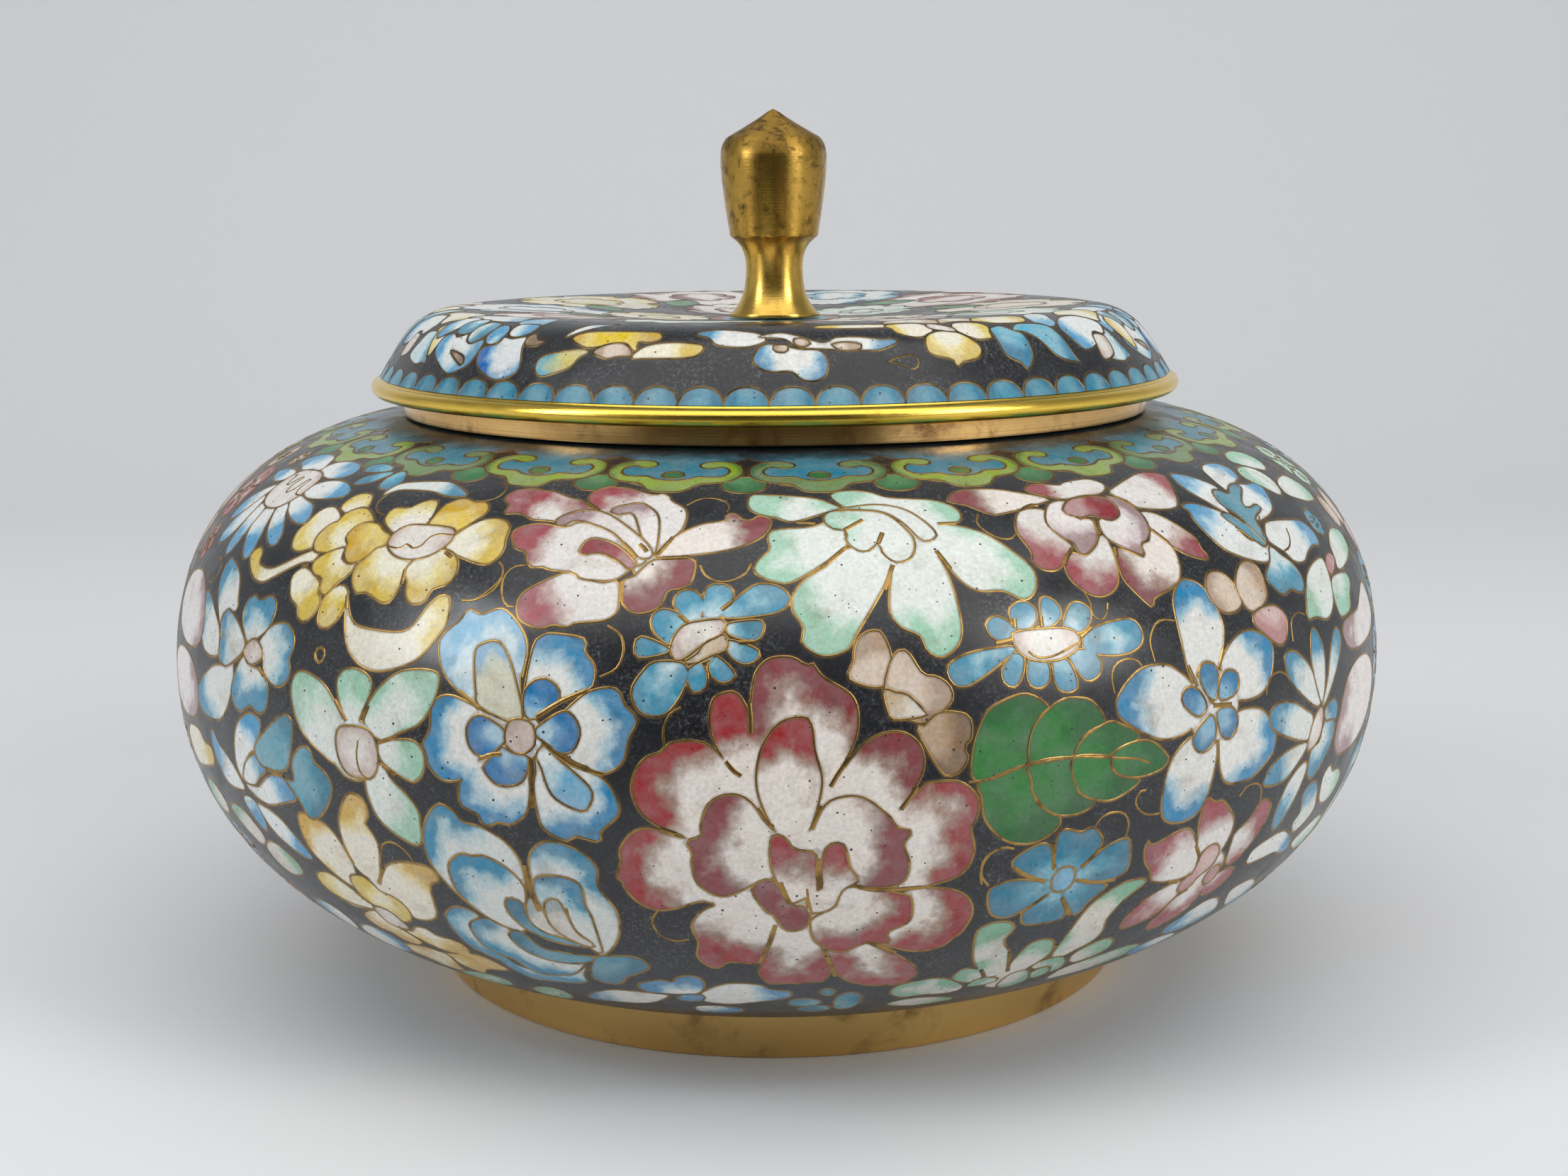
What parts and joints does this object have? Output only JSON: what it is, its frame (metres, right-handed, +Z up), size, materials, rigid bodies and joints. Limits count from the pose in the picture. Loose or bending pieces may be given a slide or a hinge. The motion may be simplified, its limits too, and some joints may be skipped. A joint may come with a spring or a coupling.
{
  "type": "lidded jar",
  "caption": "Round squat lidded jar of cloisonne enamel, with a brass foot ring, a gilt mouth collar, a lid with a bead rim and a turned brass finial.",
  "frame": {"origin": "middle of the foot ring's underside", "axes": "+Z up along the jar's axis of turning, -Y towards the side the picture shows"},
  "size_m": [0.16, 0.16, 0.1135],
  "materials": {
    "bowl_enamel": "polished glass enamel on copper, many-flower pattern on charcoal between gilt wires",
    "lid_enamel": "polished glass enamel on copper, flowers and a turquoise scallop border on charcoal",
    "satin_brass": "worn satin brass with brown tarnish",
    "rosy_gilt": "worn rosy gilding, brushed round",
    "bright_gilt": "polished gilding with small nicks",
    "aged_brass": "turned brass with dark patina, brighter on the neck"
  },
  "bodies": {
    "root": {"jar_body": "bowl_enamel", "foot_ring": "satin_brass", "neck_collar": "rosy_gilt", "lid_rim": "bright_gilt", "lid": "lid_enamel", "finial": "aged_brass"}
  },
  "joints": []
}
